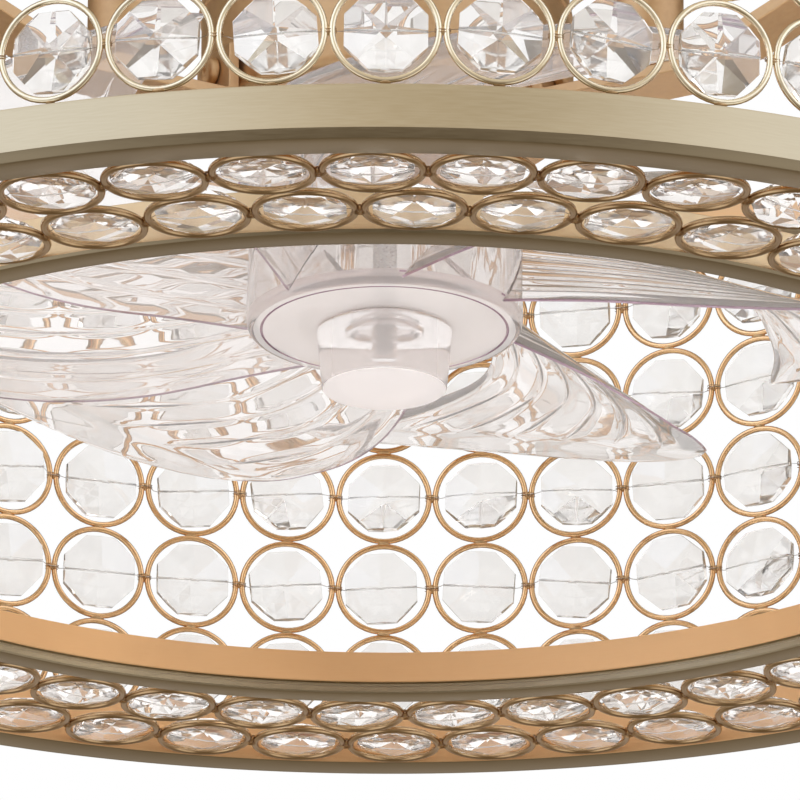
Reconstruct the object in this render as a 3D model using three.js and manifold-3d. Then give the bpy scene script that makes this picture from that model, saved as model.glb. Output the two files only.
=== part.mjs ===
// Flush ceiling fan inside a drum of wire rings and octagonal glass beads.
// Millimetres, +Z up. Heights below are measured from the underside of the
// drum; the outer group then moves everything down so that the ceiling plane
// is z = 0.
import * as THREE from 'three';
import { mergeVertices } from 'three/addons/utils/BufferGeometryUtils.js';
import Module from 'manifold-3d';

const wasm = await Module();
wasm.setup();

const CEILING = 240;          // ceiling plane above the drum's underside
const DEG = Math.PI / 180;

// ---------------------------------------------------------------- materials
const mat = (color, roughness, metalness, extra = {}) =>
  new THREE.MeshStandardMaterial({ color, roughness, metalness, ...extra });
const M = {
  champagne: mat(0xb5a584, 0.38, 0.9),
  ring: mat(0xc79a62, 0.3, 0.95),
  goldpaint: mat(0xb58f5f, 0.42, 0.75),
  crystal: mat(0xf2f4f6, 0.05, 0.0, { transparent: true, opacity: 0.55 }),
  acrylic: mat(0xeee6e3, 0.12, 0.0, { transparent: true, opacity: 0.45 }),
  steel: mat(0x8d8f93, 0.35, 1.0),
  dark: mat(0x3b3b3e, 0.5, 0.6),
  copper: mat(0xb06a35, 0.4, 0.9),
  plastic: mat(0xe9e6df, 0.5, 0.0),
  bulb: mat(0xfff6e4, 0.1, 0.0, { transparent: true, opacity: 0.6 }),
};

// ---------------------------------------------------------------- helpers
function signedVolume(g) {
  const p = g.attributes.position, ix = g.index;
  let v = 0;
  const a = new THREE.Vector3(), b = new THREE.Vector3(), c = new THREE.Vector3();
  for (let i = 0; i < ix.count; i += 3) {
    a.fromBufferAttribute(p, ix.getX(i));
    b.fromBufferAttribute(p, ix.getX(i + 1));
    c.fromBufferAttribute(p, ix.getX(i + 2));
    v += a.dot(b.cross(c)) / 6;
  }
  return v;
}

// weld, drop degenerate triangles and turn the faces outwards
function solid(geo) {
  let g = geo.clone();
  g.deleteAttribute('normal');
  g.deleteAttribute('uv');
  g = mergeVertices(g, 1e-4);
  const ix = g.index.array, out = [];
  for (let i = 0; i < ix.length; i += 3) {
    const [a, b, c] = [ix[i], ix[i + 1], ix[i + 2]];
    if (a !== b && b !== c && a !== c) out.push(a, b, c);
  }
  g.setIndex(out);
  if (signedVolume(g) < 0) {
    for (let i = 0; i < out.length; i += 3) [out[i + 1], out[i + 2]] = [out[i + 2], out[i + 1]];
    g.setIndex(out);
  }
  g.computeVertexNormals();
  return g;
}

function toManifold(geo) {
  const g = solid(geo);
  return new wasm.Manifold(new wasm.Mesh({
    numProp: 3,
    vertProperties: new Float32Array(g.attributes.position.array),
    triVerts: new Uint32Array(g.index.array),
  }));
}

function fromManifold(m) {
  const mesh = m.getMesh();
  const pos = new Float32Array((mesh.vertProperties.length / mesh.numProp) * 3);
  for (let i = 0; i < pos.length / 3; i++)
    for (let k = 0; k < 3; k++) pos[i * 3 + k] = mesh.vertProperties[i * mesh.numProp + k];
  const g = new THREE.BufferGeometry();
  g.setAttribute('position', new THREE.BufferAttribute(pos, 3));
  g.setIndex(Array.from(mesh.triVerts));
  return solid(g);
}

// turned part about Z from a closed (r, z) profile
function turned(points, segments) {
  const pts = points.map(([r, z]) => new THREE.Vector2(r, z));
  const onAxis = points[0][0] === 0 && points[points.length - 1][0] === 0;
  if (!onAxis) pts.push(pts[0].clone());
  const g = new THREE.LatheGeometry(pts, segments);
  g.rotateX(Math.PI / 2);
  return solid(g);
}

// flat plate from a shape in XY, from z0 up to z1
function plate(shape, z0, z1, curveSegments = 12) {
  const g = new THREE.ExtrudeGeometry(shape, { depth: z1 - z0, bevelEnabled: false, curveSegments });
  g.translate(0, 0, z0);
  return solid(g);
}

function cylinder(r, z0, z1, x = 0, y = 0, seg = 16) {
  const g = new THREE.CylinderGeometry(r, r, z1 - z0, seg);
  g.rotateX(Math.PI / 2);
  g.translate(x, y, (z0 + z1) / 2);
  return solid(g);
}

function box(x0, x1, y0, y1, z0, z1) {
  const g = new THREE.BoxGeometry(x1 - x0, y1 - y0, z1 - z0);
  g.translate((x0 + x1) / 2, (y0 + y1) / 2, (z0 + z1) / 2);
  return solid(g);
}

const root = new THREE.Group();
function add(name, geo, material, parent = root) {
  const m = new THREE.Mesh(geo, material);
  m.name = name;
  parent.add(m);
  return m;
}

// ---------------------------------------------------------------- sheet with round windows
// A grid of nu x nv cells, each with a six-sided window, as a thin plate.
// map(u, v, w) gives the point for u along, v across and w through the sheet.
function windowSheet(nu, nv, pu, pv, rw, margin, w0, w1, map) {
  const pts = [], tri = [];
  const key = new Map();
  const P = (u, v) => {
    const k = u.toFixed(3) + ',' + v.toFixed(3);
    if (!key.has(k)) { key.set(k, pts.length); pts.push([u, v]); }
    return key.get(k);
  };
  const U = nu * pu, V = nv * pv;
  const names = { R: 0, UR: 60, UL: 120, L: 180, LL: 240, LR: 300 };
  const pt = (i, j, n) => {
    const ci = Math.min(Math.max(i, 0), nu - 1), cj = Math.min(Math.max(j, 0), nv - 1);
    let u = (ci + 0.5) * pu + rw * Math.cos(names[n] * DEG);
    let v = (cj + 0.5) * pv + rw * Math.sin(names[n] * DEG);
    if (i < 0 || i >= nu) {
      v = (cj + 0.5) * pv;
      u = i < 0 ? margin : U - margin;
    }
    if (j < 0 || j >= nv) {
      if (i >= 0 && i < nu) u = (ci + 0.5) * pu;
      v = j < 0 ? margin : V - margin;
    }
    return P(u, v);
  };
  const T = (a, b, c) => { if (a !== b && b !== c && a !== c) tri.push([a, b, c]); };
  for (let i = -1; i < nu; i++)
    for (let j = 0; j < nv; j++) {
      const aLR = pt(i, j, 'LR'), aR = pt(i, j, 'R'), aUR = pt(i, j, 'UR');
      const bLL = pt(i + 1, j, 'LL'), bL = pt(i + 1, j, 'L'), bUL = pt(i + 1, j, 'UL');
      T(aLR, bLL, bL); T(aLR, bL, aR); T(aR, bL, bUL); T(aR, bUL, aUR);
    }
  for (let i = 0; i < nu; i++)
    for (let j = -1; j < nv; j++) {
      const a = pt(i, j, 'UL'), b = pt(i, j, 'UR'), c = pt(i, j + 1, 'LR'), d = pt(i, j + 1, 'LL');
      T(a, b, c); T(a, c, d);
    }
  for (let i = -1; i < nu; i++)
    for (let j = -1; j < nv; j++) {
      const a = pt(i, j, 'UR'), b = pt(i + 1, j, 'UL'), d = pt(i + 1, j + 1, 'LL'), c = pt(i, j + 1, 'LR');
      T(a, b, d); T(a, d, c);
    }
  // front and back sheets, then a wall along every edge used by one triangle
  const n = pts.length, pos = [], idx = [];
  for (const w of [w1, w0]) for (const [u, v] of pts) pos.push(...map(u, v, w));
  const edges = new Map();
  for (const [a, b, c] of tri) {
    idx.push(a, b, c, n + a, n + c, n + b);
    for (const [p, q] of [[a, b], [b, c], [c, a]]) {
      const back = q + '_' + p;
      if (edges.has(back)) edges.delete(back); else edges.set(p + '_' + q, [p, q]);
    }
  }
  for (const [p, q] of edges.values()) idx.push(q, p, n + p, q, n + p, n + q);
  const g = new THREE.BufferGeometry();
  g.setAttribute('position', new THREE.Float32BufferAttribute(pos, 3));
  g.setIndex(idx);
  return solid(g);
}

// Closed loop of beads on a wire. at(t, a, b) gives the point at loop angle t,
// a outwards across the bead and b along its second width.
function beadLoop(count, t0, at, wide, thin) {
  const st = [], pos = [], idx = [];
  for (let k = 0; k < count; k++) {
    st.push([t0 + (k * 2 * Math.PI) / count, wide]);
    st.push([t0 + ((k + 0.5) * 2 * Math.PI) / count, thin]);
  }
  for (const [t, sec] of st) for (const [a, b] of sec) pos.push(...at(t, a, b));
  const m = wide.length, n = st.length;
  for (let i = 0; i < n; i++) {
    const j = (i + 1) % n;
    for (let k = 0; k < m; k++) {
      const l = (k + 1) % m;
      idx.push(i * m + k, j * m + k, j * m + l, i * m + k, j * m + l, i * m + l);
    }
  }
  const g = new THREE.BufferGeometry();
  g.setAttribute('position', new THREE.Float32BufferAttribute(pos, 3));
  g.setIndex(idx);
  return solid(g);
}

// ---------------------------------------------------------------- drum hoops
const HOOP_TOP = 14.2;
const ROW = 27.68;             // ring pitch up the wall
const WALL0 = HOOP_TOP + 0.3;  // first row starts here
const WALL1 = WALL0 + 5 * ROW; // and the fifth ends here
const RW = 248.4;              // radius of the ring wall

add('lower_outer_hoop', turned([[237.8, 0], [248.2, 0], [250, 1.8], [250, HOOP_TOP], [237.8, HOOP_TOP]], 56), M.champagne);
add('inner_hoop', turned([[175.4, 2.4], [177.8, 0], [184.7, 0], [184.7, 12], [175.4, 12]], 46), M.champagne);
add('upper_hoop', turned([[237.8, WALL1 + 0.3], [250, WALL1 + 0.3], [250, WALL1 + 12.1], [237.8, WALL1 + 12.1]], 56), M.champagne);

// ---------------------------------------------------------------- ring wall, 8 panels of 7 x 5 rings
const COL = (2 * Math.PI * RW) / 56;
for (let s = 0; s < 8; s++) {
  const t0 = -90 * DEG - COL / RW / 2 + (s * Math.PI) / 4;
  const g = windowSheet(7, 5, COL, ROW, 12.35, 0.15, -0.8, 0.8, (u, v, w) => {
    const t = t0 + u / RW;
    return [(RW + w) * Math.cos(t), (RW + w) * Math.sin(t), WALL0 + v];
  });
  add(`ring_wall_panel_${s + 1}`, g, M.ring);
}

// bead strands of the wall: one bead in each ring, wire just inside the rings
const RS = 246.4;
for (let r = 0; r < 5; r++) {
  const z = WALL0 + (r + 0.5) * ROW;
  const wide = [[2.6, 0.9], [-1.6, 8.8], [-3.4, -8.8]];
  const thin = [[0.35, 0.1], [-0.2, 0.4], [-0.2, -0.4]];
  add(`wall_bead_strand_${r + 1}`,
    beadLoop(56, -90 * DEG, (t, a, b) => [(RS + a) * Math.cos(t), (RS + a) * Math.sin(t), z + b], wide, thin), M.crystal);
}

// ---------------------------------------------------------------- bottom panel, two rows of rings
const R1 = 224.55, R2 = 198.2, PZ = 0.3, PT = 1.6;
const P1 = (2 * Math.PI * R1) / 52, P2 = (2 * Math.PI * R2) / 46;
for (let q = 0; q < 4; q++) {
  const t0 = (-90 - 4.24) * DEG + (q * Math.PI) / 2;
  add(`bottom_outer_row_arc_${q + 1}`, windowSheet(13, 1, P1, 25.4, 12.0, 0.15, 0, PT, (u, v, w) => {
    const t = t0 + u / R1, r = R1 - 12.7 + v;
    return [r * Math.cos(t), r * Math.sin(t), PZ + w];
  }), M.ring);
}
for (let q = 0; q < 2; q++) {
  const t0 = (-90 - 1.8) * DEG + q * Math.PI;
  add(`bottom_inner_row_arc_${q + 1}`, windowSheet(23, 1, P2, 25.8, 12.0, 0.15, 0, PT, (u, v, w) => {
    const t = t0 + u / R2, r = R2 - 12.9 + v;
    return [r * Math.cos(t), r * Math.sin(t), PZ + w];
  }), M.ring);
}
{
  const wide = [[8.4, 3.2], [0.6, -2.9], [-8.4, 2.0]];
  const thin = [[0.4, 0.2], [0.1, -0.35], [-0.4, 0.2]];
  const z = 2.98;
  const off1 = (-90 - 4.24) * DEG + P1 / R1 / 2, off2 = (-90 - 1.8) * DEG + P2 / R2 / 2;
  add('bottom_outer_bead_strand', beadLoop(52, off1, (t, a, b) => [(R1 + a) * Math.cos(t), (R1 + a) * Math.sin(t), z + b], wide, thin), M.crystal);
  add('bottom_inner_bead_strand', beadLoop(46, off2, (t, a, b) => [(R2 + a) * Math.cos(t), (R2 + a) * Math.sin(t), z + b], wide, thin), M.crystal);
}

// ---------------------------------------------------------------- arms, lamp cups and lamps
const ARM_AZ = [-30, 90, 210];
const FOOT = 96;
ARM_AZ.forEach((az, k) => {
  const arm = new THREE.Group();
  arm.rotation.z = az * DEG;
  root.add(arm);
  // side profile in (r, z), extruded to the bar's width
  const s = new THREE.Shape();
  const pts = [[49.9, FOOT], [94, FOOT], [97, FOOT + 0.7], [231.6, 152.0], [236.9, 152.0], [236.9, 165.0], [233.9, 165.0],
    [233.9, 155.4], [230.6, 155.2], [95.8, FOOT + 3.8], [93.2, FOOT + 3], [52.9, FOOT + 3], [52.9, FOOT + 16], [49.9, FOOT + 16]];
  pts.forEach(([r, z], i) => (i ? s.lineTo(r, z) : s.moveTo(r, z)));
  const g = new THREE.ExtrudeGeometry(s, { depth: 18, bevelEnabled: false });
  g.translate(0, 0, -9);
  g.rotateX(Math.PI / 2);
  let m = toManifold(g);
  const hole = new THREE.CylinderGeometry(2.3, 2.3, 8, 10);
  hole.rotateZ(Math.PI / 2);
  hole.translate(51.4, 0, FOOT + 10);
  m = m.subtract(toManifold(hole));
  add(`cage_arm_${k + 1}`, fromManifold(m), M.goldpaint, arm);
  // bolt through the foot's upright tab into the motor shell
  const b = turned([[0, 0], [4, 0], [4, 2.4], [2, 2.4], [2, 8.4], [0, 8.4]], 8);
  b.rotateY(-Math.PI / 2);
  b.translate(55.6, 0, FOOT + 10);
  add(`arm_bolt_${k + 1}`, solid(b), M.steel, arm);
  // cup with a blind socket, then the capsule lamp that stands in it
  const cup = turned([[0, FOOT + 3.3], [8.8, FOOT + 3.3], [10.2, FOOT + 5], [10.2, FOOT + 29], [6.4, FOOT + 29], [6.4, FOOT + 12], [0, FOOT + 12]], 14);
  cup.translate(80, 0, 0);
  add(`lamp_cup_${k + 1}`, solid(cup), M.goldpaint, arm);
  const lamp = turned([[0, FOOT + 12.3], [6, FOOT + 12.3], [6, FOOT + 29.4], [8.4, FOOT + 31], [8.4, FOOT + 62], [4.6, FOOT + 69], [0, FOOT + 69.8]], 12);
  lamp.translate(80, 0, 0);
  add(`lamp_${k + 1}`, solid(lamp), M.bulb, arm);
});

// ---------------------------------------------------------------- motor
{
  // three tapped holes in the shell take the arm bolts
  let shell = toManifold(turned([[11.4, 100], [47.5, 100], [49.5, 102], [49.5, 135], [47.7, 135], [47.7, 101.9], [13.4, 101.9], [13.4, 110.5], [11.4, 110.5]], 32));
  for (const az of ARM_AZ) {
    const h = new THREE.CylinderGeometry(2.35, 2.35, 8, 8);
    h.rotateZ(Math.PI / 2);
    h.translate(48.5, 0, FOOT + 10);
    h.rotateZ(az * DEG);
    shell = shell.subtract(toManifold(h));
  }
  add('motor_shell', fromManifold(shell), M.goldpaint);
}
add('motor_cover', turned([[6.5, 160], [6.5, 158.2], [11.4, 158.2], [11.4, 146], [13.4, 146], [13.4, 158.2], [41, 158.2], [47.7, 149.4], [47.7, 135.3], [49.5, 135.3], [49.5, 150], [42, 160]], 24), M.goldpaint);
{
  const s = new THREE.Shape();
  s.absarc(0, 0, 46.4, 0, 2 * Math.PI, false);
  const h = new THREE.Path();
  for (let k = 0; k < 9; k++) {
    const a = k * 40, q = (r, d) => [r * Math.cos((a + d) * DEG), r * Math.sin((a + d) * DEG)];
    [q(24.4, 5), q(24.4, 25), q(38, 21), q(38, 9)].forEach(([x, y], i) => {
      if (k === 0 && i === 0) h.moveTo(x, y); else h.lineTo(x, y);
    });
  }
  h.closePath();
  s.holes.push(h);
  const g = plate(s, 115, 136, 12);
  add('stator_core', g, M.dark);
}
add('stator_winding', turned([[26, 136.4], [37, 136.4], [36, 143], [28, 143]], 16), M.copper);
add('lower_bearing', turned([[3.5, 102.6], [11.1, 102.6], [11.1, 109.6], [3.5, 109.6]], 14), M.steel);
add('upper_bearing', turned([[3.5, 147], [11.1, 147], [11.1, 154], [3.5, 154]], 14), M.steel);

// ---------------------------------------------------------------- rotating set
add('motor_rotor', turned([[3.5, 113], [23.2, 113], [23.2, 138], [3.5, 138]], 18), M.dark);
add('motor_shaft', turned([[0, 36], [1.8, 36], [2.4, 36.8], [2.4, 49.9], [3.2, 49.9], [3.2, 156.4], [0, 156.4]], 10), M.steel);
add('drive_washer', turned([[2.75, 47.9], [5.8, 47.9], [5.8, 49.6], [2.75, 49.6]], 12), M.steel);
add('spinner_nut', turned([[0, 26.1], [15.9, 26.1], [16.7, 26.9], [18.1, 42.7], [2.75, 42.7], [2.75, 34], [0, 34]], 20), M.acrylic);

// impeller: hub cup with seven swept blades, moulded in one piece
{
  const S = 27.87;
  let m = toManifold(turned([[2.9, 43], [36.4, 43], [36.9, 45.5], [36.4, 84], [34.2, 84], [34.2, 46], [12, 46], [12, 47.6], [2.9, 47.6]], 28));
  const ramp = (tab, x) => {
    if (x <= tab[0][0]) return tab[0][1];
    for (let i = 1; i < tab.length; i++)
      if (x <= tab[i][0]) {
        const f = (x - tab[i - 1][0]) / (tab[i][0] - tab[i - 1][0]);
        return tab[i - 1][1] + f * (tab[i][1] - tab[i - 1][1]);
      }
    return tab[tab.length - 1][1];
  };
  const lead = [[1.2, 18], [1.6, 26], [2.0, 31], [2.5, 35], [3.0, 38], [3.5, 42], [4.0, 44.5], [4.5, 48], [5.0, 50.5], [5.5, 54], [5.85, 57]];
  const trail = [[1.2, 66], [2.0, 66], [3.0, 69], [3.98, 77], [4.45, 84], [5.0, 91], [5.6, 98], [5.85, 100]];
  const rim = [[0, 5.78], [0.12, 5.85], [0.82, 5.85], [1, 5.7]];
  const zl = [[1.2, 1.6], [2.0, 1.58], [3.0, 1.54], [4.0, 1.58], [4.5, 1.68], [5.0, 1.76], [5.5, 1.92], [5.85, 2.0]];
  const zt = [[1.2, 2.7], [3.0, 2.5], [4.0, 2.42], [5.0, 2.48], [5.85, 2.6]];
  const nu = 5, nv = 5;
  const leaf = (u, v, side) => {
    const r = 1.262 + v * (ramp(rim, u) - 1.262);
    const a = (ramp(lead, r) + u * (ramp(trail, r) - ramp(lead, r))) * DEG;
    const z = ramp(zl, r) + u * (ramp(zt, r) - ramp(zl, r)) + (0.04 + 0.016 * (r - 1.2)) * Math.sin(Math.PI * u);
    return [r * S * Math.cos(a), r * S * Math.sin(a), z * S + side];
  };
  const pos = [], idx = [];
  for (const side of [1, -1])
    for (let j = 0; j <= nv; j++) for (let i = 0; i <= nu; i++) pos.push(...leaf(i / nu, j / nv, side));
  const id = (i, j, b) => b * (nu + 1) * (nv + 1) + j * (nu + 1) + i;
  const quad = (a, b, c, d) => idx.push(a, b, c, a, c, d);
  for (let j = 0; j < nv; j++)
    for (let i = 0; i < nu; i++) {
      quad(id(i, j, 0), id(i + 1, j, 0), id(i + 1, j + 1, 0), id(i, j + 1, 0));
      quad(id(i, j, 1), id(i, j + 1, 1), id(i + 1, j + 1, 1), id(i + 1, j, 1));
    }
  for (let i = 0; i < nu; i++) {
    quad(id(i, 0, 0), id(i, 0, 1), id(i + 1, 0, 1), id(i + 1, 0, 0));
    quad(id(i + 1, nv, 0), id(i + 1, nv, 1), id(i, nv, 1), id(i, nv, 0));
  }
  for (let j = 0; j < nv; j++) {
    quad(id(0, j + 1, 0), id(0, j + 1, 1), id(0, j, 1), id(0, j, 0));
    quad(id(nu, j, 0), id(nu, j, 1), id(nu, j + 1, 1), id(nu, j + 1, 0));
  }
  const g = new THREE.BufferGeometry();
  g.setAttribute('position', new THREE.Float32BufferAttribute(pos, 3));
  g.setIndex(idx);
  for (let k = 0; k < 7; k++) {
    const b = g.clone();
    b.rotateZ((k * 2 * Math.PI) / 7);
    m = m.add(toManifold(b));
  }
  add('impeller', fromManifold(m), M.acrylic);
}

// ---------------------------------------------------------------- ceiling side
add('hanger_stem', turned([[5, 160.3], [24, 160.3], [24, 163.3], [8, 163.3], [8, 234], [16, 234], [16, 237.2], [5, 237.2]], 14), M.steel);
{
  let c = toManifold(turned([[8.6, 195], [70.5, 195], [75, 199.5], [75, 240], [73.4, 240], [73.4, 200.2], [69.9, 196.6], [8.6, 196.6]], 32));
  for (const x of [-35, 35]) c = c.subtract(toManifold(cylinder(2.6, 190, 200, x, 0, 8)));
  add('canopy', fromManifold(c), M.champagne);
}
{
  // flat bar with two wire holes, two stud holes and two slots for the ceiling screws
  let m = toManifold(box(-55, 55, -13, 13, 237.5, 240));
  for (const x of [-23, 23]) m = m.subtract(toManifold(cylinder(3.6, 230, 245, x, 0, 10)));
  for (const x of [-35, 35]) m = m.subtract(toManifold(cylinder(2.4, 230, 245, x, 0, 8)));
  for (const x of [-48, 48]) m = m.subtract(toManifold(box(x - 2.4, x + 2.4, -7, 7, 230, 245)));
  add('ceiling_bracket', fromManifold(m), M.steel);
}
[-35, 35].forEach((x, k) => {
  const stud = turned([[0, 189], [2, 189], [2, 239.8], [0, 239.8]], 8);
  stud.translate(x, 0, 0);
  add(`canopy_stud_${k + 1}`, solid(stud), M.steel);
  const nut = turned([[0, 184], [2.6, 184.6], [6, 189], [5, 194.7], [2.35, 194.7], [2.35, 188.6], [0, 188.6]], 12);
  nut.translate(x, 0, 0);
  add(`canopy_nut_${k + 1}`, solid(nut), M.champagne);
});
add('receiver_box', box(-25, 25, 22, 50, 197, 216), M.plastic);
add('terminal_block', box(-12, 12, -44, -30, 197, 208), M.plastic);

const group = new THREE.Group();
root.position.z = -CEILING;
group.add(root);

export default group;
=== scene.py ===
import math

import bpy
import numpy as np
from mathutils import Matrix, Vector


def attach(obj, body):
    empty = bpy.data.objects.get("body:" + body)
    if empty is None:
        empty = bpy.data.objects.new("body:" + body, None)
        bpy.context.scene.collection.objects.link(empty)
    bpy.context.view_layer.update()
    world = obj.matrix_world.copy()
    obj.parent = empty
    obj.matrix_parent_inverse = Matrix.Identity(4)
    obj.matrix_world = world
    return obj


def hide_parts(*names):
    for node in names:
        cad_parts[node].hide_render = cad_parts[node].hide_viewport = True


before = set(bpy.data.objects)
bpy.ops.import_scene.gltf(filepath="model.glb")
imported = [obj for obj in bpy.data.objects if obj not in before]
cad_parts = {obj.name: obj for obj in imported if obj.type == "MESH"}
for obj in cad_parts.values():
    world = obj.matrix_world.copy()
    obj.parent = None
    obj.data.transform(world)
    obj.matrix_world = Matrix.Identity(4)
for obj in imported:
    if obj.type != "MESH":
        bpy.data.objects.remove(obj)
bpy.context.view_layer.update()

# Lengths below are millimetres, heights are measured up from the underside of the drum.
# Build.mesh() turns them into metres with the ceiling plane at z = 0.

CEILING = 240.0
DEG = math.pi / 180
PITCH = 27.87
rng = np.random.default_rng(7)
scene = bpy.context.scene


# ------------------------------------------------------------------ mesh helpers
class Build:
    """Collects closed pieces of one object, with a material number for each piece."""

    def __init__(self):
        self.v, self.f, self.m, self.n = [], [], [], 0

    def add(self, vf, mat=0):
        v, f = vf
        v = np.asarray(v, float)
        self.v.append(v)
        for k, face in enumerate(f):
            self.f.append([int(i) + self.n for i in face])
            self.m.append(mat if isinstance(mat, int) else mat[k])
        self.n += len(v)
        return self

    def mesh(self, name):
        co = np.concatenate(self.v)
        co = (co - np.array([0, 0, CEILING])) / 1000.0
        me = bpy.data.meshes.new(name)
        me.from_pydata(co.tolist(), [], self.f)
        me.polygons.foreach_set("material_index", np.array(self.m, np.int32))
        me.update()
        return me


def shade(me, angle):
    """angle None is flat, otherwise smooth with edges sharper than that many degrees kept."""
    if angle is None:
        me.polygons.foreach_set("use_smooth", np.zeros(len(me.polygons), bool))
        return
    me.polygons.foreach_set("use_smooth", np.ones(len(me.polygons), bool))
    me.set_sharp_from_angle(angle=angle * DEG)


def place(name, me, mats, body="frame", nodes=(), angle=35):
    which = np.zeros(len(me.polygons), np.int32)
    if len(mats) > 1:
        me.polygons.foreach_get("material_index", which)
    me.materials.clear()
    for m in mats:
        me.materials.append(m)
    me.polygons.foreach_set("material_index", which)
    shade(me, angle)
    me.update()
    o = bpy.data.objects.new(name, me)
    scene.collection.objects.link(o)
    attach(o, body)
    if nodes:
        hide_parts(*nodes)
    return o


def lathe(profile, seg, a0=0.0):
    """Closed turned solid. profile is a closed loop of (r, z), or an open one whose ends are on the axis."""
    v, rows = [], []
    for r, z in profile:
        if r < 1e-6:
            rows.append([len(v)] * seg)
            v.append((0, 0, z))
        else:
            rows.append(list(range(len(v), len(v) + seg)))
            v += [(r * math.cos(a0 + k * 2 * math.pi / seg), r * math.sin(a0 + k * 2 * math.pi / seg), z) for k in range(seg)]
    n = len(rows)
    axis = profile[0][0] < 1e-6 and profile[-1][0] < 1e-6
    area = 0.0
    for i in range(n):
        (r1, z1), (r2, z2) = profile[i], profile[(i + 1) % n]
        area += r1 * z2 - r2 * z1
    f = []
    for i in range(n - 1 if axis else n):
        a, b = rows[i], rows[(i + 1) % n]
        for k in range(seg):
            l = (k + 1) % seg
            q = [a[k], a[l], b[l], b[k]]
            q = [x for j, x in enumerate(q) if x != q[j - 1]]
            if len(q) > 2:
                f.append(q if area > 0 else q[::-1])
    return np.array(v, float), f


def fillet(points, radii, steps=5):
    """Rounds the corners of a closed (r, z) loop. radii gives one radius a corner."""
    out, n = [], len(points)
    for i in range(n):
        p0, p1, p2 = (np.array(points[(i + d) % n], float) for d in (-1, 0, 1))
        r = radii[i]
        if r <= 0:
            out.append(tuple(p1))
            continue
        a, b = p0 - p1, p2 - p1
        la, lb = np.linalg.norm(a), np.linalg.norm(b)
        a, b = a / la, b / lb
        half = math.acos(max(-1, min(1, a @ b))) / 2
        t = min(r / math.tan(half), la * 0.49, lb * 0.49)
        r2 = t * math.tan(half)
        c = p1 + (a + b) / np.linalg.norm(a + b) * (r2 / math.sin(half))
        s, e = p1 + a * t, p1 + b * t
        a0 = math.atan2(*(s - c)[::-1])
        a1 = math.atan2(*(e - c)[::-1])
        d = (a1 - a0 + math.pi) % (2 * math.pi) - math.pi
        for k in range(steps + 1):
            w = a0 + d * k / steps
            out.append((c[0] + r2 * math.cos(w), c[1] + r2 * math.sin(w)))
    return out


def tube(path, radius, sides=6, closed=False, scale=None):
    """Round wire along a path of points."""
    p = np.asarray(path, float)
    n = len(p)
    if closed:
        t = np.roll(p, -1, 0) - np.roll(p, 1, 0)
    else:
        t = np.gradient(p, axis=0)
    t /= np.linalg.norm(t, axis=1)[:, None]
    ref = np.array([0, 0, 1.0]) if abs(t[0][2]) < 0.9 else np.array([1.0, 0, 0])
    u = np.cross(t[0], ref)
    u /= np.linalg.norm(u)
    us = [u]
    for i in range(1, n):
        w = us[-1] - t[i] * (us[-1] @ t[i])
        us.append(w / np.linalg.norm(w))
    us = np.array(us)
    vs = np.cross(t, us)
    ang = np.arange(sides) * 2 * math.pi / sides
    rad = np.full(n, radius) if scale is None else radius * np.asarray(scale, float)
    v = (p[:, None, :] + rad[:, None, None] * (np.cos(ang)[None, :, None] * us[:, None, :] + np.sin(ang)[None, :, None] * vs[:, None, :])).reshape(-1, 3)
    f = []
    m = n if closed else n - 1
    # the last section of a closed wire meets the first one where it is nearest
    off = 0
    if closed:
        d = [np.linalg.norm(v[(n - 1) * sides] - v[j]) for j in range(sides)]
        off = int(np.argmin(d))
    for i in range(m):
        for k in range(sides):
            l = (k + 1) % sides
            if closed and i == n - 1:
                f.append([i * sides + k, i * sides + l, (l + off) % sides, (k + off) % sides])
            else:
                f.append([i * sides + k, i * sides + l, (i + 1) * sides + l, (i + 1) * sides + k])
    if not closed:
        f.append([k for k in range(sides)][::-1])
        f.append([(n - 1) * sides + k for k in range(sides)])
    return v, f


TORUS_CACHE = {}


def torus(big, small, seg=48, sides=10):
    key = (big, small, seg, sides)
    if key not in TORUS_CACHE:
        a = np.arange(seg) * 2 * math.pi / seg
        b = np.arange(sides) * 2 * math.pi / sides
        r = big + small * np.cos(b)[None, :]
        v = np.stack([r * np.cos(a)[:, None], r * np.sin(a)[:, None], np.broadcast_to(small * np.sin(b)[None, :], (seg, sides))], -1).reshape(-1, 3)
        f = []
        for i in range(seg):
            j = (i + 1) % seg
            for k in range(sides):
                l = (k + 1) % sides
                f.append([i * sides + k, j * sides + k, j * sides + l, i * sides + l])
        TORUS_CACHE[key] = (v, f)
    return TORUS_CACHE[key]


def blob(rx, ry, rz, seg=10, rows=6):
    v, f = lathe([(math.sin(math.pi * i / rows) if 0 < i < rows else 0.0, -math.cos(math.pi * i / rows)) for i in range(rows + 1)], seg)
    return v * np.array([rx, ry, rz]), f


def moved(vf, frame_cols, origin):
    """Places local (x, y, z) with the three axes given as rows, at origin."""
    v, f = vf
    return v @ np.asarray(frame_cols, float) + np.asarray(origin, float), f


def radial_frame(t):
    """Rows: tangent, up, outwards. Local z points outwards."""
    return np.array([[-math.sin(t), math.cos(t), 0], [0, 0, 1], [math.cos(t), math.sin(t), 0]])


def tilt(rx, ry, rz):
    a = Matrix.Rotation(rx * DEG, 3, "X") @ Matrix.Rotation(ry * DEG, 3, "Y") @ Matrix.Rotation(rz * DEG, 3, "Z")
    return np.array(a).T


def boolean(target, cutters, op):
    """One boolean after another on a mesh object that is not kept, exact for a difference and manifold for a union.
    """
    for c in cutters:
        m = target.modifiers.new("b", "BOOLEAN")
        m.operation = op
        m.object = c
        m.solver = "MANIFOLD" if op == "UNION" else "EXACT"
    bpy.context.view_layer.update()
    dg = bpy.context.evaluated_depsgraph_get()
    me = bpy.data.meshes.new_from_object(target.evaluated_get(dg))
    for o in [target, *cutters]:
        bpy.data.objects.remove(o)
    return me


def loose(name, vf, mat=0):
    b = Build().add(vf, mat)
    me = b.mesh(name)
    o = bpy.data.objects.new(name, me)
    scene.collection.objects.link(o)
    return o


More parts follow.
